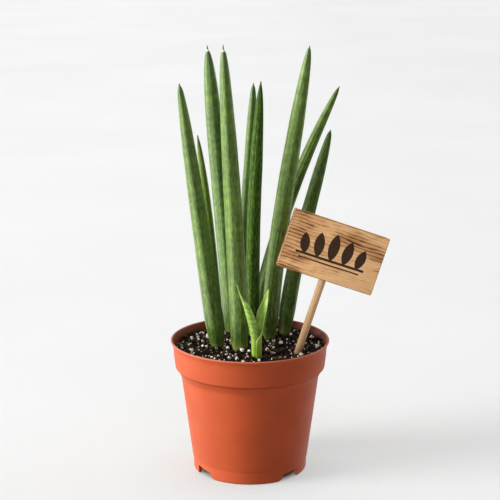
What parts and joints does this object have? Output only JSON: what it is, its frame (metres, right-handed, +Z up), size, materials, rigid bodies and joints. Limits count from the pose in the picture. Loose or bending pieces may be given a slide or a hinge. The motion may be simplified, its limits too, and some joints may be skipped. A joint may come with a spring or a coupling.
{
  "type": "potted cylindrical snake plant",
  "caption": "Upright clump of tapering, finely ribbed round leaves with a young shoot, in a round nursery pot filled with potting soil, with a bare wooden label on a stick.",
  "frame": {"origin": "on the surface that the pot stands on, under the middle of the bounding box in X and Y", "axes": "+Z up, the way the plant grows; +X to the right seen from the front, where the label stands; +Y away from the front"},
  "size_m": [0.164, 0.12, 0.326],
  "materials": {
    "terracotta_plastic": "satin moulded plastic",
    "potting_soil": "loose crumbs and pale perlite",
    "mature_leaf": "waxy, slightly rough",
    "young_leaf": "waxy",
    "label_wood": "sanded, lightly scorched",
    "stick_wood": "sanded"
  },
  "bodies": {
    "root": {"pot": "terracotta_plastic", "soil": "potting_soil", "leaf_outer_left": "mature_leaf", "leaf_thin_left": "mature_leaf", "leaf_tall_left": "mature_leaf", "leaf_tall_centre": "mature_leaf", "leaf_middle_back": "mature_leaf", "leaf_middle_front": "mature_leaf", "leaf_tall_right": "mature_leaf", "leaf_leaning_right": "mature_leaf", "leaf_outer_right": "mature_leaf", "shoot_spear_leaf": "young_leaf", "shoot_sheath_leaf": "young_leaf", "label_board": "label_wood", "label_stick": "stick_wood"}
  },
  "joints": []
}
